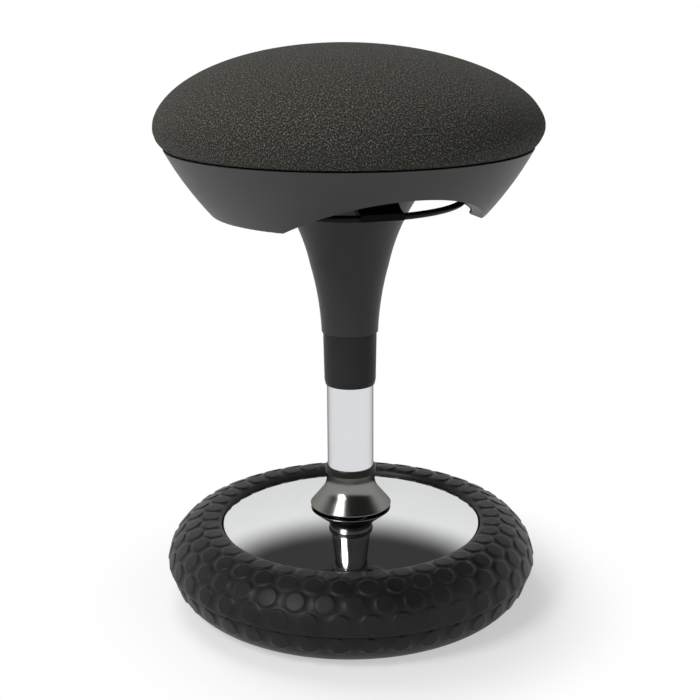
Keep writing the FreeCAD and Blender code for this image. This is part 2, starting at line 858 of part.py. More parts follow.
def cushion_form(inset):
    """The cushion's outer form, drawn in at the seam and crowned above, less a skin."""
    wide = value("seat_wide")
    seat_rad = value("seat_rad")
    rise = value("seat_top") - wide
    foot = value("board_foot + board_thick")
    draw_in = seat_rad - value("seam_rad")
    sections = []
    for share in (1.0, 0.75, 0.45):
        radius = seat_rad - draw_in * (1 - math.sqrt(1 - share * share))
        sections.append(dome_section(radius - inset, wide - (wide - foot) * share, 0))
    for degrees in (0, 12, 25, 38, 50, 61, 71, 79, 85):
        angle = math.radians(degrees)
        height = math.sin(angle)
        radius = (seat_rad - inset) * math.cos(angle)
        shift = value("crown_shift") * height * height
        sections.append(dome_section(radius, wide + (rise - inset) * height, shift))
    return Part.makeLoft(sections, True, False)


def seat_foam():
    foam = doc.addObject("Part::Feature", "seat_foam")
    foam.Label = "seat_foam"
    foam.Shape = cushion_form(value("cover_thick"))
    foam.Placement = FreeCAD.Placement()
    return foam


def seat_cover(foam):
    cover = doc.addObject("Part::Feature", "seat_cover")
    cover.Label = "seat_cover"
    cover.Shape = cushion_form(0).cut(foam.Shape)
    cover.Placement = FreeCAD.Placement()
    return cover


# Release

def lever_spider():
    """A disc over the valve pin with three broad arms that carry the release ring."""
    top = "spider_foot + spider_thick"
    disc = washer("spider_body", "0", "spider_disc", "spider_foot", top)
    arm = plane_sketch(disc, "YZ_Plane", "arm_side")
    draw(arm, [
        ("spider_disc - 12", "spider_foot"),
        ("carrier_cone_rad + 2", "spider_foot"),
        ("lever_rad - 8", "lever_mid - lever_wire + 0.8"),
        ("lever_rad + lever_wire + 0.5", "lever_mid - lever_wire + 0.8"),
        ("lever_rad + lever_wire + 0.5", "lever_mid + 4"),
        ("lever_rad - 6", "lever_mid + 5.5"),
        ("carrier_cone_rad + 3", top),
        ("spider_disc - 12", top),
    ])
    pad = disc.newObject("PartDesign::Pad", "arm")
    pad.Profile = arm
    pad.SideType = "Symmetric"
    pad.setExpression("Length", bound("arm_width"))
    doc.recompute()
    around(disc, pad, "arm_count")
    disc.Placement = FreeCAD.Placement(FreeCAD.Vector(), FreeCAD.Rotation(UP, 180 - value("arm_turn")))
    seat = torus("ring_seat", "lever_rad", "lever_wire", "lever_mid")
    spider = doc.addObject("Part::Cut", "lever_spider")
    spider.Label = "lever_spider"
    spider.Base = disc
    spider.Tool = seat
    doc.recompute()
    return spider


def build_parts():
    rod_gap = "rod_rad + run_gap"
    pin_bore = "pin_rad + run_gap"
    ledge = "ring_rad - lower_sec"
    plate = "tube_foot + tube_floor"
    foam = seat_foam()
    return [
        ring_lower_half(),
        valve_piece("valve_stem", "valve_rad", f"{ledge} - 11", f"{ledge} + 11"),
        valve_piece("valve_cap", "valve_rad + 1.5", f"{ledge} - 20", f"{ledge} - 11"),
        ring_upper_half(),
        chrome_dome(),
        base_plate(),
        bead_clamp_ring(),
        clamp_screws(),
        ballast_weight(),
        ballast_screws(),
        column_socket(),
        stand_tube(),
        guide_bush(),
        bell_cap(),
        collar_ring(),
        washer("lower_race", "rod_rad + 0.2", "race_rad", plate, f"{plate} + race_thick"),
        ball_cage(),
        bearing_balls(),
        washer("upper_race", "rod_end_rad", "race_rad",
               f"{plate} + race_thick + ball_gap", f"{plate} + 2 * race_thick + ball_gap"),
        piston_rod(),
        piston(),
        torus("piston_seal", "cylinder_bore - run_gap - 0.74", "0.7", "piston_foot + 5.5"),
        bump_stop(),
        retaining_clip(),
        gas_cylinder(),
        washer("rod_guide", rod_gap, "cylinder_bore", "cylinder_foot", "cylinder_foot + guide_height"),
        washer("valve_body", pin_bore, "cylinder_bore", "cylinder_top - guide_height - 1", "cylinder_top"),
        taper_socket(),
        mounting_plate(),
        plate_screws(),
        t_nuts(),
        seat_board(),
        fulcrum_ring(),
        foam,
        seat_cover(foam),
        seat_shell(),
        shell_screws(),
        trumpet_cover(),
        turned("middle_sleeve", [
            ("tube_rad + 0.3", "sleeve_foot"),
            ("tube_rad + 1.4", "sleeve_foot"),
            ("sleeve_rad - 0.9", "sleeve_foot + 5"),
            ("sleeve_rad", "sleeve_foot + 51"),
            ("sleeve_rad", "sleeve_top"),
            ("sleeve_bore", "sleeve_top"),
            ("sleeve_bore", "sleeve_foot + 51"),
            ("sleeve_bore - 0.9", "sleeve_foot + 6"),
            ("tube_rad + 0.3", "sleeve_foot + 5"),
        ]),
        torus("lever_ring", "lever_rad", "lever_wire", "lever_mid"),
        lever_spider(),
        turned("valve_pin", [
            ("0", "cylinder_top - guide_height - 7"),
            ("pin_rad", "cylinder_top - guide_height - 7"),
            ("pin_rad", "pin_top - 1.2", "(pin_rad * pin_rad + 1.44) / 2.4"),
            ("0", "pin_top"),
        ]),
    ]


def check_and_write(parts):
    doc.recompute()
    for item in doc.Objects:
        if "Invalid" in item.State or "Error" in item.State:
            raise ValueError(f"{item.Name} did not build: {item.State}")
    for item in parts:
        shape = item.Shape
        if shape.isNull() or not shape.isValid():
            raise ValueError(f"{item.Label} has no valid shape")
        if not shape.Solids:
            raise ValueError(f"{item.Label} has no solid")
        shape.exportStep(f"parts/{item.Label}.step")


check_and_write(build_parts())
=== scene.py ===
import json
import math

import bmesh
import bpy
import numpy as np
from mathutils import Matrix, Vector, noise


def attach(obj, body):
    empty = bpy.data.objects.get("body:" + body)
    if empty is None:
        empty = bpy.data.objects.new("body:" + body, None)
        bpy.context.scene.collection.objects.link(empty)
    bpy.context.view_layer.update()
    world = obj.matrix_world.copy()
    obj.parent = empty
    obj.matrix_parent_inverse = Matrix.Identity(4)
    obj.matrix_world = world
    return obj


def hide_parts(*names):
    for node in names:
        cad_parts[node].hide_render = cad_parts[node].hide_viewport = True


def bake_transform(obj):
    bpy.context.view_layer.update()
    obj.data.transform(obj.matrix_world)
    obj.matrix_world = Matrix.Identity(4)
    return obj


# A wobble stool: studded rubber ring, chrome dome and column, flared cover, shell and cushion.
# Most pieces are shown straight from the CAD. Three are made here: the two halves of the rubber
# ring, with their studs and mould line, and the cloth cushion. Every piece gets its material.
# Metres throughout, +Z up, -Y the seat's front. Sizes that build meshes are in millimetres.

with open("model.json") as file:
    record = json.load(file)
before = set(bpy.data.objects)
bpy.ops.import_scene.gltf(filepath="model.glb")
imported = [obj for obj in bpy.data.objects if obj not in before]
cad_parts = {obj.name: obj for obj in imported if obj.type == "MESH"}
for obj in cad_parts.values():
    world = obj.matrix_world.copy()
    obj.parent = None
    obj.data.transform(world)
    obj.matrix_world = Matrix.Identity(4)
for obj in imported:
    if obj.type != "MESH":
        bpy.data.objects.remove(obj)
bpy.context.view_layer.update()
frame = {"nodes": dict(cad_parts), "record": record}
nodes = frame["nodes"]
scene = bpy.context.scene

MM = 0.001
TURN = 2 * math.pi


# Camera, fitted to the photograph

VIEW_DEGREES = -21.0
CAMERA_AZIMUTH = math.radians(VIEW_DEGREES)
CAMERA_REACH = 1.3913
CAMERA_HEIGHT = 0.6743
CAMERA_PITCH = 0.27933
CAMERA_ROLL = -0.005287
SENSOR_WIDTH = 36
FOCAL_PIXELS = 1360
PHOTO_PIXELS = 700


def make_camera():
    ahead = Vector((-math.sin(CAMERA_AZIMUTH), math.cos(CAMERA_AZIMUTH), 0))
    place = -ahead * CAMERA_REACH + Vector((0, 0, CAMERA_HEIGHT))
    look = ahead * math.cos(CAMERA_PITCH) - Vector((0, 0, math.sin(CAMERA_PITCH)))
    level = look.cross(Vector((0, 0, 1))).normalized()
    upright = level.cross(look)
    cosine = math.cos(CAMERA_ROLL)
    sine = math.sin(CAMERA_ROLL)
    right = level * cosine + upright * sine
    up = upright * cosine - level * sine
    data = bpy.data.cameras.new("camera")
    data.lens = FOCAL_PIXELS / PHOTO_PIXELS * SENSOR_WIDTH
    data.sensor_width = SENSOR_WIDTH
    data.clip_start = 0.05
    data.clip_end = 60
    camera = bpy.data.objects.new("camera", data)
    scene.collection.objects.link(camera)
    turn = Matrix((right, up, -look)).transposed().to_4x4()
    camera.matrix_world = Matrix.Translation(place) @ turn
    scene.camera = camera


make_camera()


# Mesh helpers

def add_mesh(name, points, faces):
    """A mesh object from points in millimetres."""
    mesh = bpy.data.meshes.new(name)
    mesh.from_pydata([tuple(c * MM for c in p) for p in points], [], faces)
    piece = bpy.data.objects.new(name, mesh)
    scene.collection.objects.link(piece)
    return piece


def weld(piece, gap):
    """Merges points closer than gap, in metres, drops slivers and turns the faces outwards."""
    work = bmesh.new()
    work.from_mesh(piece.data)
    bmesh.ops.remove_doubles(work, verts=work.verts, dist=gap)
    bmesh.ops.dissolve_degenerate(work, edges=work.edges, dist=gap)
    bmesh.ops.recalc_face_normals(work, faces=work.faces)
    work.to_mesh(piece.data)
    work.free()
    smooth_faces(piece)


def smooth_faces(piece):
    for face in piece.data.polygons:
        face.use_smooth = True


def apply_modifiers(piece):
    """Writes a piece's modifiers into its mesh."""
    graph = bpy.context.evaluated_depsgraph_get()
    mesh = bpy.data.meshes.new_from_object(piece.evaluated_get(graph))
    piece.modifiers.clear()
    piece.data = mesh


def ring_faces(first, second, count):
    """Quads between two closed rings of point indices that start at first and second."""
    return [(first + i, first + (i + 1) % count, second + (i + 1) % count, second + i)
            for i in range(count)]


# Rubber ring. Angles on its round section are 0 at the outer equator and 90 on top.

RING_RAD = 155.0
RING_MID = 41.0
UPPER_SECTION = 45.5
LOWER_SECTION = 41.4
RING_WELD = 0.00002

# Rows of studs and the borders between their cells, as section angles in degrees
UPPER_ROWS = [16.8, 41.6, 66.2, 90.6]
UPPER_BORDERS = [3.5, 29.2, 53.9, 78.4, 104.0]
LOWER_ROWS = [-17.4]
LOWER_BORDERS = [-30.5, -3.5]

STUD_COUNT = 40
STUD_STEP = TURN / STUD_COUNT
# A stud of the first row stands 3.4 degrees left of the camera's line
STUD_START = math.radians(-90 + VIEW_DEGREES - 3.4)
STUD_RISE = 0.55
# Radius and share of the rise, from a stud's foot inwards
STUD_PROFILE = [(10.3, 0.0), (9.85, 0.45), (9.2, 0.92), (8.5, 1.0), (5.7, 1.0), (2.0, 1.0)]
# How much of the ring's curve a stud's face evens out from top to bottom
STUD_FLAT = 0.6
# Steps along half of a cell's side, and how far the cells of two rows wave into each other
CELL_SIDE = 6
CELL_WAVE = 1.7

# The mould line: half its gap, and how its height wanders (depth, waves per turn, phase)
GROOVE_HALF = 0.7
GROOVE_WAVES = [(0.35, 5, 1.0), (0.22, 13, 2.1), (0.12, 29, 0.0)]
GROOVE_REACH = 5
GROOVE_LIMIT = 80

# Hollows: the air space, and the ledge and lip that the base clamps
UPPER_AIR = 35
LOWER_AIR = 34
AIR_STEP = 20
AIR_FLOOR = 10
AIR_FLOOR_HALF = 14
LEDGE_OUTER = [(142.3, 84.4), (141.9, 77.6)]
LIP_RAD = 103
LIP_TOP = 77.5
LIP_FOOT = 71.5
# The section circle's last degrees before the ledge and before the inner gap
LEDGE_DEGREES = 1.5
INNER_END = 179
# The edges of each half at the mould line, as radius and height from the gap's side
UPPER_INNER_EDGE = [(110, 0), (120, 0)]
UPPER_AIR_EDGE = 190
UPPER_OUTER_EDGE = [(199.2, 0), (200.0, 0.35), (200.35, 1.2)]
LOWER_INNER_EDGE = [(114.2, 0), (121, 0)]
LOWER_AIR_EDGE = 189
LOWER_OUTER_EDGE = [(195.0, 0), (195.8, 0.35), (196.2, 1.0)]
# Rounding where the lower half meets the floor, in degrees and in millimetres
FOOT_ROUND_DEGREES = 1.5
FOOT_ROUND = 0.6
# Steps along the plain arcs of the section
UPPER_STEPS = 8
LOWER_STEPS = 12


def groove_wave(theta):
    """The wander of the mould line's height round the ring."""
    return sum(depth * math.sin(waves * theta + phase) for depth, waves, phase in GROOVE_WAVES)


def groove_share(height):
    """How much of the mould line's wander reaches points at this height."""
    return math.exp(-((height - RING_MID) / GROOVE_REACH) ** 2)


def ring_point(theta, phi, section, lift=0.0):
    """A point at a turn and a section angle, lifted off the section circle."""
    reach = section + lift
    across = RING_RAD + reach * math.cos(phi)
    height = RING_MID + reach * math.sin(phi)
    if phi < math.radians(GROOVE_LIMIT):
        height += groove_wave(theta) * groove_share(height)
    return (across * math.cos(theta), across * math.sin(theta), height)


def cell_outline(low, high, low_wave, high_wave):
    """The edge of one stud's cell as (turn, section angle) points, matching its neighbours."""
    outline = []
    for side in range(4):
        for step in range(2 * CELL_SIDE):
            share = step / CELL_SIDE - 1
            across, along = ((share, -1), (1, share), (-share, 1), (-1, -share))[side]
            bottom = low - low_wave * math.cos(math.pi * across)
            top = high + high_wave * math.cos(math.pi * across)
            outline.append((across * STUD_STEP / 2, bottom + (top - bottom) * (along + 1) / 2))
    return outline


def stud_cell(points, faces, section, theta, row, outline):
    """One round stud and the cell of the ring round it."""
    count = len(outline)
    start = len(points)
    across = RING_RAD + section * math.cos(row)
    points += [ring_point(theta + turn, phi, section) for turn, phi in outline]
    for radius, share in STUD_PROFILE:
        for turn, phi in outline:
            angle = math.atan2((phi - row) * section, turn * across)
            x = radius * math.cos(angle)
            y = radius * math.sin(angle)
            flat = STUD_FLAT * y * y / (2 * section)
            points.append(ring_point(theta + x / across, row + y / section, section,
                                     share * (STUD_RISE + flat)))
    for ring in range(len(STUD_PROFILE)):
        faces += ring_faces(start + ring * count, start + (ring + 1) * count, count)
    centre = len(points)
    points.append(ring_point(theta, row, section, STUD_RISE))
    last = start + len(STUD_PROFILE) * count
    faces += [(last + i, last + (i + 1) % count, centre) for i in range(count)]


def turned_bands(points, faces, profile, count, start_angle):
    """Bands round the column through (radius, height, share of the wander) points."""
    first = len(points)
    for radius, height, wander in profile:
        for step in range(count):
            theta = start_angle + TURN * step / count
            rise = groove_wave(theta) * wander
            points.append((radius * math.cos(theta), radius * math.sin(theta), height + rise))
    for row in range(len(profile) - 1):
        faces += ring_faces(first + row * count, first + (row + 1) * count, count)


def section_point(section, degrees, wanders):
    """A profile point on the section circle."""
    phi = math.radians(degrees)
    height = RING_MID + section * math.sin(phi)
    return (RING_RAD + section * math.cos(phi), height, groove_share(height) if wanders else 0)


def section_arc(section, low, high, steps):
    """Profile points along the section circle between two angles."""
    wanders = max(low, high) < GROOVE_LIMIT
    return [section_point(section, low + (high - low) * step / steps, wanders)
            for step in range(steps + 1)]


def air_arc(radius, start, stop, step):
    """Profile points round the air space."""
    return [(RING_RAD + radius * math.cos(math.radians(a)),
             RING_MID + radius * math.sin(math.radians(a)), 0) for a in range(start, stop, step)]


def groove_edge(edge, side, wander):
    """Profile points along the mould line's gap; side is 1 above it and -1 below."""
    return [(radius, RING_MID + side * (GROOVE_HALF + away), wander) for radius, away in edge]


def studded_ring(name, section, rows, borders, rest):
    """A half of the ring: rows of studs outside and a plain turned form for the rest."""
    points = []
    faces = []
    for index, row in enumerate(rows):
        low_wave = 0 if index == 0 else CELL_WAVE / section
        high_wave = 0 if index == len(rows) - 1 else CELL_WAVE / section
        outline = cell_outline(math.radians(borders[index]), math.radians(borders[index + 1]),
                               low_wave, high_wave)
        offset = STUD_STEP / 2 if index % 2 else 0
        for stud in range(STUD_COUNT):
            theta = STUD_START + offset + stud * STUD_STEP
            stud_cell(points, faces, section, theta, math.radians(row), outline)
    around = STUD_COUNT * 2 * CELL_SIDE
    turned_bands(points, faces, rest, around, STUD_START + STUD_STEP / 2)
    piece = add_mesh(name, points, faces)
    weld(piece, RING_WELD)
    return piece


def upper_rest():
    """From the last studs over the ledge under the dome, down the inside and round the air."""
    lip_angle = 180 - math.degrees(math.asin((LIP_FOOT - RING_MID) / UPPER_SECTION))
    made = section_arc(UPPER_SECTION, UPPER_BORDERS[-1], UPPER_BORDERS[-1] + LEDGE_DEGREES, 1)
    made += [(radius, height, 0) for radius, height in LEDGE_OUTER]
    made += [(LIP_RAD, LIP_TOP, 0), (LIP_RAD, LIP_FOOT, 0)]
    made += section_arc(UPPER_SECTION, lip_angle, INNER_END, UPPER_STEPS)
    made += groove_edge(UPPER_INNER_EDGE, 1, 0)
    made += air_arc(UPPER_AIR, 170, 0, -AIR_STEP)
    made += groove_edge([(UPPER_AIR_EDGE, 0)], 1, 0.5)
    made += groove_edge(UPPER_OUTER_EDGE, 1, 1)
    made.append(section_point(UPPER_SECTION, UPPER_BORDERS[0], True))
    return made


def lower_rest():
    """From the studs to the flat foot, up the inside and round the air."""
    foot = math.degrees(math.asin(RING_MID / LOWER_SECTION))
    foot_half = LOWER_SECTION * math.cos(math.radians(foot)) - FOOT_ROUND
    made = section_arc(LOWER_SECTION, LOWER_BORDERS[0], -(foot - FOOT_ROUND_DEGREES),
                       LOWER_STEPS)
    made += [(RING_RAD + foot_half, 0, 0), (RING_RAD - foot_half, 0, 0)]
    made += section_arc(LOWER_SECTION, -180 + foot - FOOT_ROUND_DEGREES, -180, LOWER_STEPS)
    made += groove_edge(LOWER_INNER_EDGE, -1, 0)
    made += air_arc(LOWER_AIR, -170, -110, AIR_STEP)
    made += [(RING_RAD - AIR_FLOOR_HALF, AIR_FLOOR, 0), (RING_RAD + AIR_FLOOR_HALF, AIR_FLOOR, 0)]
    made += air_arc(LOWER_AIR, -60, 0, AIR_STEP)
    made += groove_edge([(LOWER_AIR_EDGE, 0)], -1, 0.5)
    made += groove_edge(LOWER_OUTER_EDGE, -1, 1)
    made.append(section_point(LOWER_SECTION, LOWER_BORDERS[-1], True))
    return made


ring_upper = studded_ring("ring_tread_upper", UPPER_SECTION, UPPER_ROWS, UPPER_BORDERS,
                          upper_rest())
ring_lower = studded_ring("ring_tread_lower", LOWER_SECTION, LOWER_ROWS, LOWER_BORDERS,
                          lower_rest())
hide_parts("ring_upper_half")
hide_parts("ring_lower_half")
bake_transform(ring_lower)
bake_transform(ring_upper)


# Shell under the cushion, with soft moulded edges

def soften(piece, width, degrees):
    """Bevels the edges that turn by more than an angle; the width is in millimetres."""
    soft = piece.modifiers.new("edges", "BEVEL")
    soft.width = width * MM
    soft.segments = 2
    soft.limit_method = "ANGLE"
    soft.angle_limit = math.radians(degrees)


soften(nodes["seat_shell"], 1.0, 40)


# Cushion: a crowned dome whose crown stands behind the middle, with sides drawn in to the seam

SEAT_RAD = 199.8
SEAT_WIDE = 509.0
SEAT_TOP = 594.2
SEAT_FOOT = 492.7
SEAM_RAD = 187.0
CROWN_SHIFT = 20.0
# How the sides draw in below the widest height
DRAW_POWER = 1.5
CUSHION_COLUMNS = 160
SIDE_SHARES = [-1.0, -0.9, -0.75, -0.6, -0.45, -0.3, -0.15]
CROWN_ROWS = 32
CUSHION_WELD = 0.00001
# How much smaller the mesh is at its sides and its crown; the cloth run swells it back
CLOTH_SIZES = (0.3, 1.5)

# The cloth run, in metres: its steps, the farthest that a point may move, the mesh's spacing,
# and the height at which the seam stops being held
CLOTH_STEPS = 20
CLOTH_LIMIT = 0.005
CLOTH_SPACING = 0.005
HELD_TOP = 0.499
HELD_FADE = 0.004

# Pleats near the seam: their depth and count, the height they centre on and how far from it
# they reach, the radius outside which they lie, and how often their depth changes round the seat
PLEAT_DEPTH = 0.35
PLEAT_COUNT = 61
PLEAT_HEIGHT = 497
PLEAT_REACH = 8
PLEAT_INNER = 150
PLEAT_CHANGE = 9

# Points on the curve that measures the way from crown to widest height
CURVE_POINTS = 300


def cushion_point(theta, share, inset, crown_drop):
    """share runs from -1 at the seam through 0 at the widest to 1 at the crown."""
    if share < 0:
        drawn = (SEAT_RAD - SEAM_RAD) * abs(share) ** DRAW_POWER
        radius = SEAT_RAD - drawn - inset
        height = SEAT_WIDE + (SEAT_WIDE - SEAT_FOOT) * share
        return (radius * math.cos(theta), radius * math.sin(theta), height)
    angle = share * math.pi / 2
    lift = math.sin(angle)
    radius = (SEAT_RAD - inset) * math.cos(angle)
    return (radius * math.cos(theta), radius * math.sin(theta) + CROWN_SHIFT * lift * lift,
            SEAT_WIDE + (SEAT_TOP - SEAT_WIDE - crown_drop) * lift)


def cushion_mesh(name, inset, crown_drop):
    """The closed cushion, smaller at the sides by inset and at the crown by crown_drop."""
    columns = CUSHION_COLUMNS
    shares = SIDE_SHARES + [step / CROWN_ROWS for step in range(CROWN_ROWS)]
    points = []
    faces = []
    for share in shares:
        points += [cushion_point(TURN * i / columns, share, inset, crown_drop)
                   for i in range(columns)]
    for row in range(len(shares) - 1):
        faces += ring_faces(row * columns, (row + 1) * columns, columns)
    foot = len(points)
    points.append((0, 0, SEAT_FOOT))
    crown = len(points)
    points.append((0, CROWN_SHIFT, SEAT_TOP - crown_drop))
    last = (len(shares) - 1) * columns
    for i in range(columns):
        after = (i + 1) % columns
        faces.append((after, i, foot))
        faces.append((last + i, last + after, crown))
    piece = add_mesh(name, points, faces)
    weld(piece, CUSHION_WELD)
    return piece


def point_places(mesh):
    """A mesh's points as rows of x, y and z."""
    places = np.zeros(len(mesh.vertices) * 3)
    mesh.vertices.foreach_get("co", places)
    return places.reshape(-1, 3)


def inflate(piece):
    """Fills the cushion: a short cloth run under pressure, with the seam held on the board."""
    remesh = piece.modifiers.new("remesh", "REMESH")
    remesh.mode = "VOXEL"
    remesh.voxel_size = CLOTH_SPACING
    apply_modifiers(piece)
    mesh = piece.data
    before = point_places(mesh)
    group = piece.vertex_groups.new(name="held")
    for index, place in enumerate(before):
        weight = min(max((HELD_TOP - place[2]) / HELD_FADE, 0), 1)
        if weight > 0:
            group.add([index], float(weight), "REPLACE")
    cloth = piece.modifiers.new("cloth", "CLOTH")
    settings = cloth.settings
    settings.quality = 6
    settings.mass = 0.3
    settings.tension_stiffness = 30
    settings.compression_stiffness = 30
    settings.shear_stiffness = 12
    settings.bending_stiffness = 4
    settings.use_pressure = True
    settings.uniform_pressure_force = 4
    settings.vertex_group_mass = "held"
    settings.effector_weights.gravity = 0
    cloth.point_cache.frame_start = 1
    cloth.point_cache.frame_end = CLOTH_STEPS
    for step in range(1, CLOTH_STEPS + 1):
        scene.frame_set(step)
    graph = bpy.context.evaluated_depsgraph_get()
    after = point_places(piece.evaluated_get(graph).to_mesh())
    piece.modifiers.clear()
    move = after - before
    length = np.linalg.norm(move, axis=1, keepdims=True)
    move *= np.minimum(1, CLOTH_LIMIT / np.maximum(length, 1e-9))
    mesh.vertices.foreach_set("co", (before + move).ravel())
    mesh.update()
    scene.frame_set(1)


def finish_cushion(piece):
    """Presses the underside flat, adds faint pleats near the seam and rounds the mesh."""
    for vertex in piece.data.vertices:
        place = vertex.co
        height = place.z / MM
        theta = math.atan2(place.y, place.x)
        reach = math.hypot(place.x, place.y) / MM
        if height < SEAT_FOOT:
            place.z = SEAT_FOOT * MM
        near = 0
        if reach > PLEAT_INNER:
            near = math.exp(-((height - PLEAT_HEIGHT) / PLEAT_REACH) ** 2)
        grain = noise.noise(Vector((math.cos(theta) * PLEAT_CHANGE,
                                    math.sin(theta) * PLEAT_CHANGE, 0.3)))
        pleat = math.sin(theta * PLEAT_COUNT + 3 * grain) * (0.5 + 0.5 * grain)
        out = PLEAT_DEPTH * pleat * near * MM
        place.x += math.cos(theta) * out
        place.y += math.sin(theta) * out
    smooth_faces(piece)
    fine = piece.modifiers.new("fine", "SUBSURF")
    fine.levels = 1
    fine.render_levels = 1
    apply_modifiers(piece)
    smooth_faces(piece)


def map_cloth(piece):
    """Lays the cloth's two thread directions over the dome, so the weave keeps its size."""
    mesh = piece.data
    layer = mesh.uv_layers.new(name="threads")
    angles = np.linspace(math.pi / 2, 0, CURVE_POINTS)
    across = SEAT_RAD * np.cos(angles)
    heights = SEAT_WIDE + (SEAT_TOP - SEAT_WIDE) * np.sin(angles)
    walked = np.concatenate(([0], np.cumsum(np.hypot(np.diff(across), np.diff(heights)))))
    places = []
    for vertex in mesh.vertices:
        x = vertex.co.x / MM
        height = vertex.co.z / MM
        lift = min(max((height - SEAT_WIDE) / (SEAT_TOP - SEAT_WIDE), 0), 1)
        y = vertex.co.y / MM - CROWN_SHIFT * lift * lift
        reach = math.hypot(x, y)
        if height > SEAT_WIDE:
            angle = math.atan2(lift, reach / SEAT_RAD)
            along = np.interp(math.pi / 2 - angle, math.pi / 2 - angles, walked)
        else:
            along = walked[-1] + SEAT_WIDE - height
        scale = along / reach if reach > 1 else 1
        places.append((x * scale * MM, y * scale * MM))
    for loop in mesh.loops:
        layer.data[loop.index].uv = places[loop.vertex_index]


cushion = cushion_mesh("cushion", *CLOTH_SIZES)
inflate(cushion)
finish_cushion(cushion)
map_cloth(cushion)
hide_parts("seat_cover", "seat_foam")
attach(cushion, "seat")


# Material helpers

def new_material(name, base, roughness, metallic=0.0, specular=0.5):
    material = bpy.data.materials.new(name)
    material.use_nodes = True
    tree = material.node_tree
    shader = tree.nodes["Principled BSDF"]
    shader.inputs["Base Color"].default_value = (*base, 1)
    shader.inputs["Roughness"].default_value = roughness
    shader.inputs["Metallic"].default_value = metallic
    shader.inputs["Specular IOR Level"].default_value = specular
    return material, tree, shader


def add_node(tree, kind, **values):
    """A new node; each value goes to the input of that name, or else to the property."""
    node = tree.nodes.new(kind)
    for key, item in values.items():
        if key in node.inputs:
            node.inputs[key].default_value = item
        else:
            setattr(node, key, item)
    return node


def object_place(tree):
    return add_node(tree, "ShaderNodeTexCoord").outputs["Object"]


def stretched_place(tree, scale):
    """The piece's own coordinates, scaled along each axis."""
    stretch = add_node(tree, "ShaderNodeMapping", Scale=scale)
    tree.links.new(object_place(tree), stretch.inputs["Vector"])
    return stretch.outputs["Vector"]


def add_noise(tree, scale, detail=3.0, rough=0.5, source=None):
    texture = add_node(tree, "ShaderNodeTexNoise", Scale=scale, Detail=detail, Roughness=rough)
    place = object_place(tree) if source is None else source
    tree.links.new(place, texture.inputs["Vector"])
    return texture.outputs["Fac"]


def add_ramp(tree, source, stops):
    """A colour ramp; a stop's colour is three numbers, or one for grey."""
    ramp = tree.nodes.new("ShaderNodeValToRGB")
    for element, (place, colour) in zip(ramp.color_ramp.elements, stops):
        element.position = place
        element.color = (*(colour if isinstance(colour, tuple) else (colour,) * 3), 1)
    tree.links.new(source, ramp.inputs["Fac"])
    return ramp.outputs["Color"]


def link_ramp(tree, source, stops, target):
    tree.links.new(add_ramp(tree, source, stops), target)


def add_bump(tree, shader, heights, distance, strength, onto=None):
    bump = add_node(tree, "ShaderNodeBump", Distance=distance, Strength=strength)
    tree.links.new(heights, bump.inputs["Height"])
    if onto is not None:
        tree.links.new(onto, bump.inputs["Normal"])
    tree.links.new(bump.outputs["Normal"], shader.inputs["Normal"])
    return bump.outputs["Normal"]


def math_node(tree, operation, *terms):
    """A math node whose terms are numbers or sockets."""
    node = add_node(tree, "ShaderNodeMath", operation=operation)
    for index, item in enumerate(terms):
        if isinstance(item, (int, float)):
            node.inputs[index].default_value = item
        else:
            tree.links.new(item, node.inputs[index])
    return node.outputs[0]


# Materials

THREAD_PITCH = 0.0013


def rubber_material():
    """Dull moulded rubber with broad, faint changes of tone."""
    material, tree, shader = new_material("rubber_tread", (0.02, 0.02, 0.02), 0.5, specular=0.16)
    patches = add_noise(tree, 14.0, 4.0, 0.6)
    link_ramp(tree, patches, [(0.3, (0.007, 0.007, 0.0072)), (0.7, (0.015, 0.015, 0.0147))],
              shader.inputs["Base Color"])
    link_ramp(tree, patches, [(0.3, 0.34), (0.72, 0.50)], shader.inputs["Roughness"])
    grain = add_noise(tree, 900.0, 3.0, 0.6)
    soft = add_noise(tree, 60.0, 3.0, 0.5)
    first = add_bump(tree, shader, grain, 0.0002, 0.5)
    add_bump(tree, shader, soft, 0.0012, 0.4, onto=first)
    return material


def plastic_material(name, base, low, high, grain_scale=1400.0, grain_depth=0.00012,
                     specular=0.5):
    """Moulded or coated: a fine grain, slight tone drift and handling shine."""
    material, tree, shader = new_material(name, base, high, specular=specular)
    drift = add_noise(tree, 9.0, 3.0, 0.5)
    darker = tuple(0.90 * c for c in base)
    lighter = tuple(1.10 * c for c in base)
    link_ramp(tree, drift, [(0.35, darker), (0.65, lighter)], shader.inputs["Base Color"])
    link_ramp(tree, drift, [(0.3, low), (0.7, high)], shader.inputs["Roughness"])
    add_bump(tree, shader, add_noise(tree, grain_scale, 2.0, 0.5), grain_depth, 0.6)
    return material


def metal_material(name, base, low, high, edge_tint_painted_shade):
    """Plated metal: faint wiping marks in the roughness, and painted shade where it turns away: a
    darkened edge tint on its reflection.
    """
    material, tree, shader = new_material(name, base, low, 1.0)
    shader.inputs["Specular Tint"].default_value = (edge_tint_painted_shade, edge_tint_painted_shade, edge_tint_painted_shade, 1)
    marks = add_noise(tree, 25.0, 5.0, 0.65)
    link_ramp(tree, marks, [(0.4, low), (0.75, high)], shader.inputs["Roughness"])
    tone = tuple(0.96 * c for c in base)
    link_ramp(tree, marks, [(0.3, tone), (0.7, base)], shader.inputs["Base Color"])
    return material


def turned_metal_material(name, base, low, high, turns=900.0):
    """Turned or rolled metal with fine rings along its length."""
    material, tree, shader = new_material(name, base, high, 1.0)
    rings = add_noise(tree, turns, 2.0, 0.5, source=stretched_place(tree, (0.05, 0.05, 1.0)))
    link_ramp(tree, rings, [(0.3, low), (0.7, high)], shader.inputs["Roughness"])
    add_bump(tree, shader, rings, 0.00005, 0.5)
    drift = add_noise(tree, 30.0)
    tone = tuple(0.88 * c for c in base)
    link_ramp(tree, drift, [(0.3, tone), (0.7, base)], shader.inputs["Base Color"])
    return material


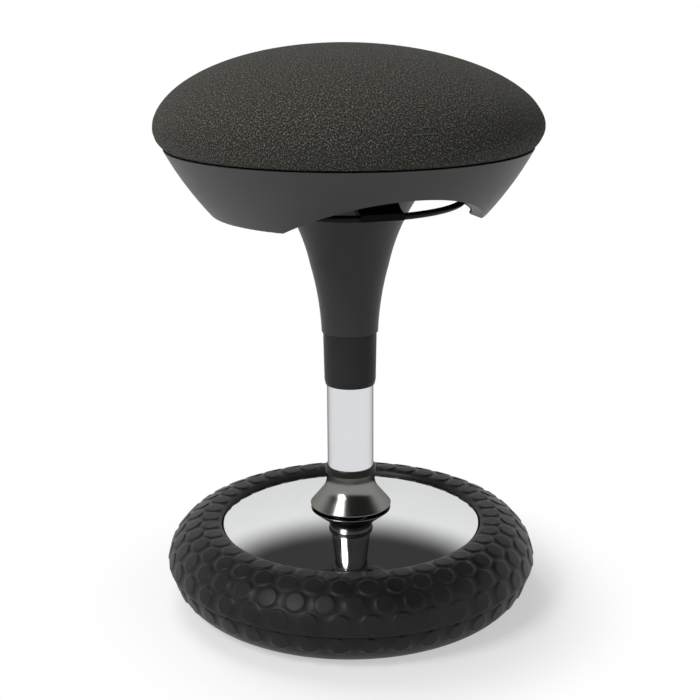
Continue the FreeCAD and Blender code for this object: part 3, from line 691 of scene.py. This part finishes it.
def cloth_material():
    """Charcoal plain weave with a scatter of pale flecks, threads along the mapped directions."""
    material, tree, shader = new_material("seat_cloth", (0.03, 0.03, 0.03), 0.9, specular=0.1)
    shader.inputs["Sheen Weight"].default_value = 0.04
    shader.inputs["Sheen Roughness"].default_value = 0.4
    shader.inputs["Sheen Tint"].default_value = (0.8, 0.78, 0.74, 1)
    source = add_node(tree, "ShaderNodeUVMap", uv_map="threads").outputs["UV"]
    split = tree.nodes.new("ShaderNodeSeparateXYZ")
    tree.links.new(source, split.inputs[0])
    waves = TURN / THREAD_PITCH
    warp = math_node(tree, "SINE", math_node(tree, "MULTIPLY", split.outputs["X"], waves))
    weft = math_node(tree, "SINE", math_node(tree, "MULTIPLY", split.outputs["Y"], waves))
    weave = math_node(tree, "MULTIPLY", warp, weft)
    weave = math_node(tree, "MULTIPLY_ADD", weave, 0.5, 0.5)
    flecks = add_noise(tree, 620.0, 3.0, 0.7, source=source)
    broad = add_noise(tree, 210.0, 3.0, 0.6, source=source)
    fleck_mask = add_ramp(tree, flecks, [(0.51, 0.0), (0.70, 1.0)])
    broad_mask = add_ramp(tree, broad, [(0.35, 0.0), (0.65, 1.0)])
    broad_mask = math_node(tree, "MULTIPLY_ADD", broad_mask, 0.6, 0.4)
    mask = math_node(tree, "MULTIPLY", fleck_mask, broad_mask)
    ground = add_ramp(tree, flecks, [(0.30, (0.004, 0.004, 0.0035)),
                                     (0.55, (0.030, 0.029, 0.0255))])
    mix = add_node(tree, "ShaderNodeMix", data_type="RGBA")
    tree.links.new(mask, mix.inputs["Factor"])
    tree.links.new(ground, mix.inputs[6])
    mix.inputs[7].default_value = (0.26, 0.25, 0.215, 1)
    tree.links.new(mix.outputs[2], shader.inputs["Base Color"])
    fuzz = add_noise(tree, 1500.0, 2.0, 0.6, source=source)
    first = add_bump(tree, shader, weave, 0.0003, 0.6)
    add_bump(tree, shader, math_node(tree, "ADD", fuzz, flecks), 0.0003, 0.5, onto=first)
    return material


def wood_material():
    """Plywood coloured near black as painted shade for the seat's underside, which the dome
    mirrors, with its grain still showing.
    """
    material, tree, shader = new_material("board_painted_shade", (0.02, 0.018, 0.016), 0.7,
                                          specular=0.2)
    grain = add_noise(tree, 9.0, 5.0, 0.6, source=stretched_place(tree, (1.0, 14.0, 60.0)))
    # Near-black tones: painted shade on the board, over its real grain
    link_ramp(tree, grain, [(0.3, (0.012, 0.011, 0.010)), (0.7, (0.030, 0.026, 0.022))],
              shader.inputs["Base Color"])
    add_bump(tree, shader, grain, 0.0002, 0.5)
    return material


# Names, base colours, and the lowest and highest roughness
rubber = rubber_material()
shell_grey = plastic_material("shell_grey", (0.040, 0.0405, 0.0415), 0.42, 0.52, specular=0.28)
cover_grey = plastic_material("cover_grey", (0.030, 0.0303, 0.031), 0.40, 0.50, specular=0.18)
sleeve_grey = plastic_material("sleeve_grey", (0.022, 0.0223, 0.023), 0.38, 0.48,
                               specular=0.08)
cap_black = plastic_material("cap_black", (0.010, 0.010, 0.0104), 0.30, 0.42, specular=0.2)
spider_black = plastic_material("spider_black", (0.004, 0.004, 0.0042), 0.45, 0.60,
                                specular=0.05)
coat_black = plastic_material("coat_black", (0.012, 0.012, 0.0125), 0.32, 0.45, 500.0, 0.0002)
lever_black = plastic_material("lever_black", (0.004, 0.004, 0.0042), 0.28, 0.40, 800.0,
                               0.0001, 0.1)
bush_natural = plastic_material("bush_natural", (0.45, 0.45, 0.42), 0.4, 0.5)
foam_pale = plastic_material("foam_pale", (0.60, 0.57, 0.47), 0.85, 0.95, 350.0, 0.001)
iron = plastic_material("cast_black", (0.02, 0.02, 0.021), 0.55, 0.75, 220.0, 0.0008)
# The last number of each plated metal is its edge tint: painted shade on the reflection where the
# surface turns away
chrome = metal_material("chrome_plate", (0.78, 0.785, 0.79), 0.035, 0.075, 0.8)
chrome_tube = metal_material("chrome_column", (0.70, 0.71, 0.73), 0.05, 0.10, 0.25)
# The bell cap's chrome with a darkened base colour: a painted dark reflection of the seat and
# ring that it mirrors
bell_chrome_painted_dark = metal_material("bell_chrome_painted_dark", (0.21, 0.21, 0.198), 0.16, 0.26, 0.5)
steel = turned_metal_material("zinc_steel", (0.55, 0.55, 0.56), 0.25, 0.4)
rod_steel = turned_metal_material("ground_rod", (0.65, 0.65, 0.66), 0.08, 0.16, 1600.0)
aluminium = turned_metal_material("turned_aluminium", (0.72, 0.72, 0.73), 0.25, 0.4)
brass = turned_metal_material("turned_brass", (0.60, 0.44, 0.18), 0.22, 0.36)
cloth = cloth_material()
# The seat board, coloured near black as painted shade
dark_board_painted_shade = wood_material()

slot_materials = {
    "ring_rubber": rubber,
    "valve_brass": brass,
    "valve_black": cap_black,
    "dome_chrome": chrome,
    "plate_steel": coat_black,
    "screw_steel": steel,
    "weight_iron": iron,
    "tube_chrome": chrome_tube,
    "bush_plastic": bush_natural,
    "cap_plastic": cap_black,
    "race_steel": rod_steel,
    "cage_brass": brass,
    "ball_steel": rod_steel,
    "rod_chrome": rod_steel,
    "piston_aluminium": aluminium,
    "seal_rubber": rubber,
    "stop_rubber": rubber,
    "cylinder_black": coat_black,
    "carrier_black": coat_black,
    "board_ply": dark_board_painted_shade,
    "foam_grey": foam_pale,
    "cover_fabric": cloth,
    "shell_plastic": shell_grey,
    "trumpet_plastic": cover_grey,
    "sleeve_plastic": sleeve_grey,
    "lever_black": lever_black,
    "spider_plastic": spider_black,
}


def set_material(piece, material):
    piece.data.materials.clear()
    piece.data.materials.append(material)


node_slots = {item["node"]: item["material_slot"] for item in frame["record"]["subparts"]}
for node, piece in nodes.items():
    set_material(piece, slot_materials[node_slots[node]])
# The bell cap shares the dome's slot and is the same chrome; its darker base colour is a painted
# dark reflection of the seat and ring above it
set_material(nodes["bell_cap"], bell_chrome_painted_dark)
set_material(ring_upper, rubber)
set_material(ring_lower, rubber)
set_material(cushion, cloth)


# Floor, world and lamps

FLOOR_HALF = 12.0
# Seen directly, the floor glows white, less so within these distances, where the shadow lies
SHADOW_START = 0.20
SHADOW_END = 0.33
SHADOW_GLOW = 0.5
# Metal shows the white background up to the first angle, and a dark ceiling above the second
CEILING_START = math.radians(27)
CEILING_END = math.radians(43)
CEILING_LEVEL = 0.05
WORLD_LEVEL = 0.25


def eased(tree, value, start, end, first, last):
    """A value that runs smoothly from first to last between start and end."""
    fade = add_node(tree, "ShaderNodeMapRange", interpolation_type="SMOOTHSTEP",
                    **{"From Min": start, "From Max": end, "To Min": first, "To Max": last})
    tree.links.new(value, fade.inputs["Value"])
    return fade.outputs["Result"]


def seen_rays(tree, paths):
    """1 for the rays that show the background: from the camera, mirrored or passed through."""
    seen = math_node(tree, "MAXIMUM", paths.outputs["Is Camera Ray"],
                     paths.outputs["Is Glossy Ray"])
    return math_node(tree, "MAXIMUM", seen, paths.outputs["Is Transmission Ray"])


def mix_shaders(tree, share, first, second, output):
    mix = tree.nodes.new("ShaderNodeMixShader")
    tree.links.new(share, mix.inputs[0])
    tree.links.new(first.outputs[0], mix.inputs[1])
    tree.links.new(second.outputs[0], mix.inputs[2])
    tree.links.new(mix.outputs[0], tree.nodes[output].inputs[0])


def make_floor():
    corners = [(-1, -1), (1, -1), (1, 1), (-1, 1)]
    mesh = bpy.data.meshes.new("floor")
    mesh.from_pydata([(x * FLOOR_HALF, y * FLOOR_HALF, 0) for x, y in corners], [],
                     [(0, 1, 2, 3)])
    floor = bpy.data.objects.new("floor", mesh)
    scene.collection.objects.link(floor)
    material, tree, shader = new_material("floor_pale", (0.86, 0.86, 0.86), 0.9, specular=0.0)
    glow = add_node(tree, "ShaderNodeEmission", Color=(1, 1, 1, 1), Strength=1.0)
    away = add_node(tree, "ShaderNodeVectorMath", operation="LENGTH")
    tree.links.new(object_place(tree), away.inputs[0])
    clear = eased(tree, away.outputs["Value"], SHADOW_START, SHADOW_END, SHADOW_GLOW, 1.0)
    seen = seen_rays(tree, tree.nodes.new("ShaderNodeLightPath"))
    mix_shaders(tree, math_node(tree, "MULTIPLY", seen, clear), shader, glow, "Material Output")
    mesh.materials.append(material)


def make_world():
    world = bpy.data.worlds.new("studio")
    scene.world = world
    world.use_nodes = True
    tree = world.node_tree
    background = tree.nodes["Background"]
    background.inputs["Color"].default_value = (0.95, 0.97, 1.0, 1)
    background.inputs["Strength"].default_value = WORLD_LEVEL
    white = add_node(tree, "ShaderNodeBackground", Color=(1, 1, 1, 1))
    paths = tree.nodes.new("ShaderNodeLightPath")
    split = tree.nodes.new("ShaderNodeSeparateXYZ")
    tree.links.new(add_node(tree, "ShaderNodeTexCoord").outputs["Generated"], split.inputs[0])
    dusk = eased(tree, split.outputs["Z"], math.sin(CEILING_START), math.sin(CEILING_END),
                 1.0, CEILING_LEVEL)
    level = math_node(tree, "MAXIMUM", dusk, paths.outputs["Is Camera Ray"])
    tree.links.new(level, white.inputs["Strength"])
    mix_shaders(tree, seen_rays(tree, paths), background, white, "World Output")


def make_lamp(name, place, target, size, power, mirrored=False):
    """A soft lamp at place that faces target; chrome shows it only if it is mirrored."""
    data = bpy.data.lights.new(name, "AREA")
    data.shape = "RECTANGLE"
    data.size = size[0]
    data.size_y = size[1]
    data.energy = power
    lamp = bpy.data.objects.new(name, data)
    lamp.visible_glossy = mirrored
    lamp.location = place
    lamp.rotation_euler = (Vector(target) - Vector(place)).to_track_quat("-Z", "Y").to_euler()
    scene.collection.objects.link(lamp)


make_floor()
make_world()
make_lamp("key", (-1.9, -0.9, 2.1), (0, 0, 0.3), (1.1, 1.1), 50, mirrored=True)
make_lamp("fill", (1.4, -2.2, 1.2), (0, 0, 0.3), (1.6, 1.6), 6)
make_lamp("back", (-0.4, 1.2, 2.6), (0, 0, 0.4), (1.4, 1.2), 40)

scene.view_settings.view_transform = "Standard"
